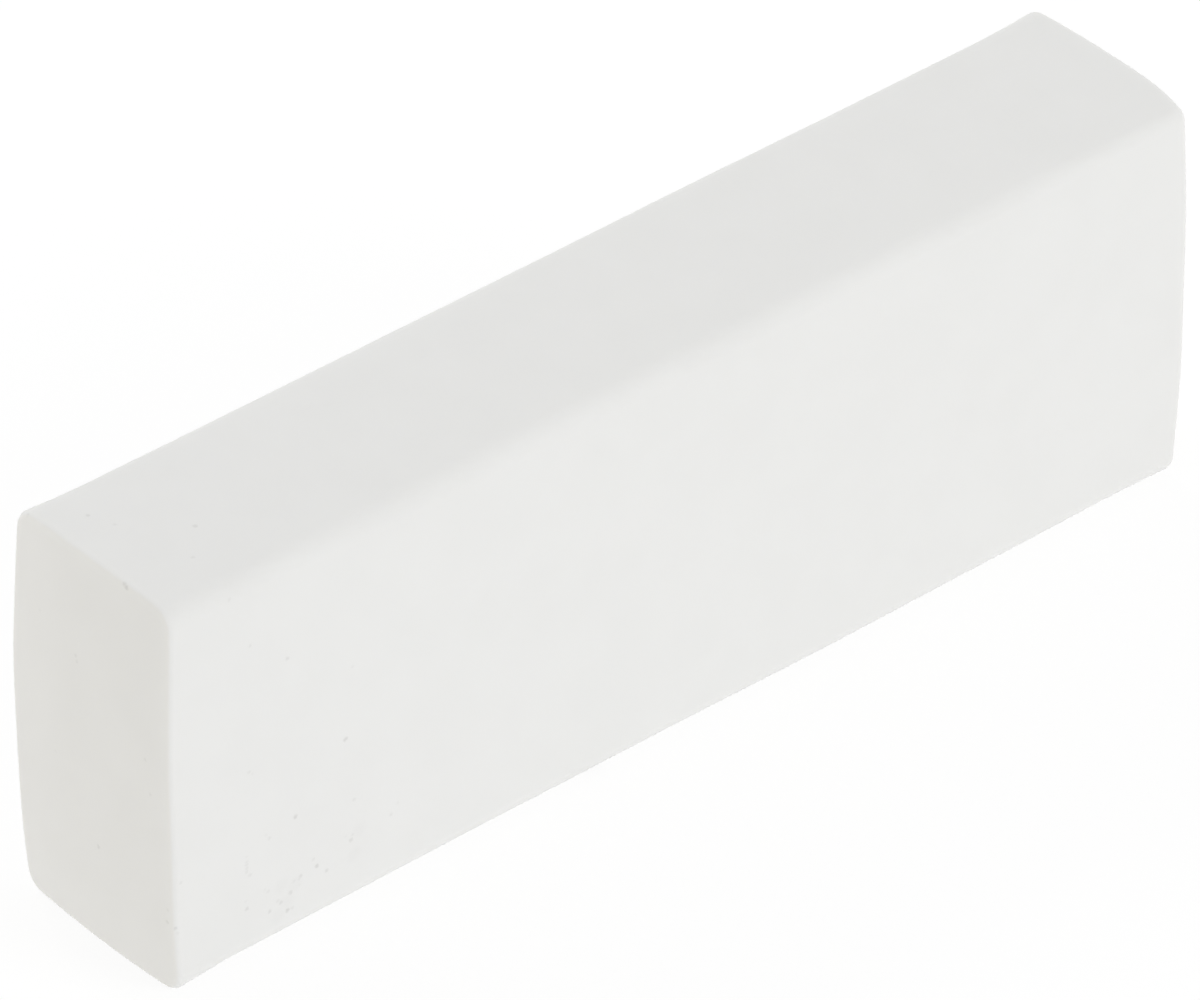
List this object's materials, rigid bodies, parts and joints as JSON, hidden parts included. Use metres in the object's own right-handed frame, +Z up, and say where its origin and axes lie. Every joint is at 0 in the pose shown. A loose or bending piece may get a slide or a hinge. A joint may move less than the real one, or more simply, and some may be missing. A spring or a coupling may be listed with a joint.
{
  "type": "vinyl eraser",
  "caption": "Block eraser of soft white vinyl, a knife-cut bar with rounded long edges, slightly swollen faces and a flat foot to stand on.",
  "frame": {"origin": "middle of the flat foot, on the surface that the block stands on", "axes": "+X along the length from one cut end to the other, +Y through the thickness from the front wide face to the back one, +Z up the width"},
  "size_m": [0.065, 0.012, 0.023],
  "materials": {
    "white_vinyl": "soft white vinyl, matte, faintly waxy, with crisp knife-cut ends"
  },
  "bodies": {
    "root": {"eraser": "white_vinyl"}
  },
  "joints": []
}
